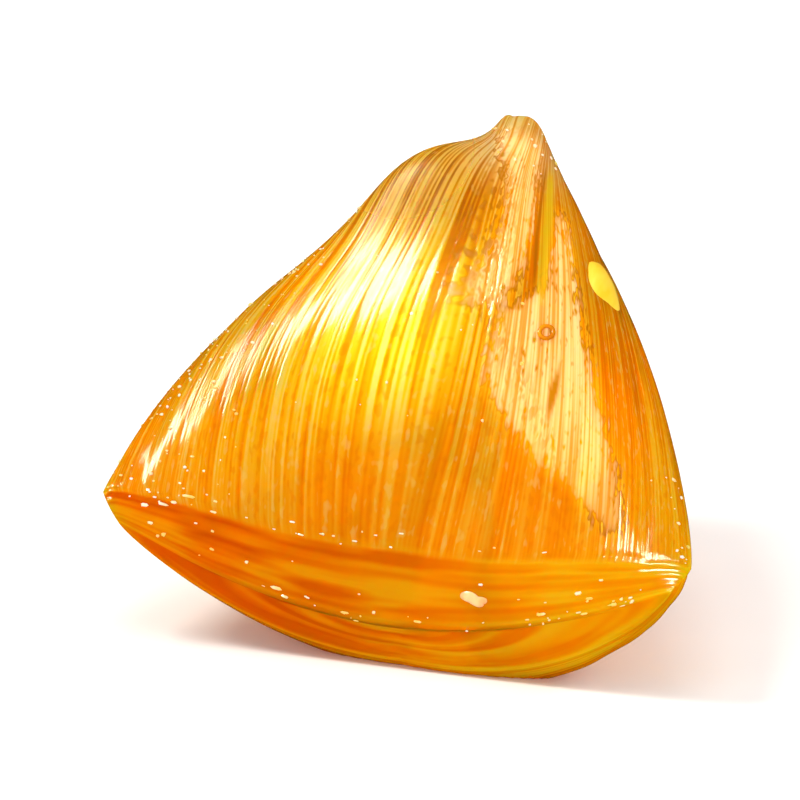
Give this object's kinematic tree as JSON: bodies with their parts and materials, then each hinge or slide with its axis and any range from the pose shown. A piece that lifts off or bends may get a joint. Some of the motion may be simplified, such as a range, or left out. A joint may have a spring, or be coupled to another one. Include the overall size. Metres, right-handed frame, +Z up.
{
  "type": "hard candy",
  "caption": "Translucent amber pulled-sugar candy, snipped wide and flat at one end and pinched upright at the other, with ribs fanning between them.",
  "frame": {"origin": "bottom centre of the bounding box of the candy as it lies", "axes": "+Z up; -Y towards the wide flat cut, +Y towards the pinched end; +X along the wide cut, to the right when the cut faces the viewer"},
  "size_m": [0.0274, 0.0216, 0.0207],
  "materials": {
    "candy": "glossy translucent amber boiled sugar with fine pulled striations"
  },
  "bodies": {
    "root": {"candy": "candy"}
  },
  "joints": []
}
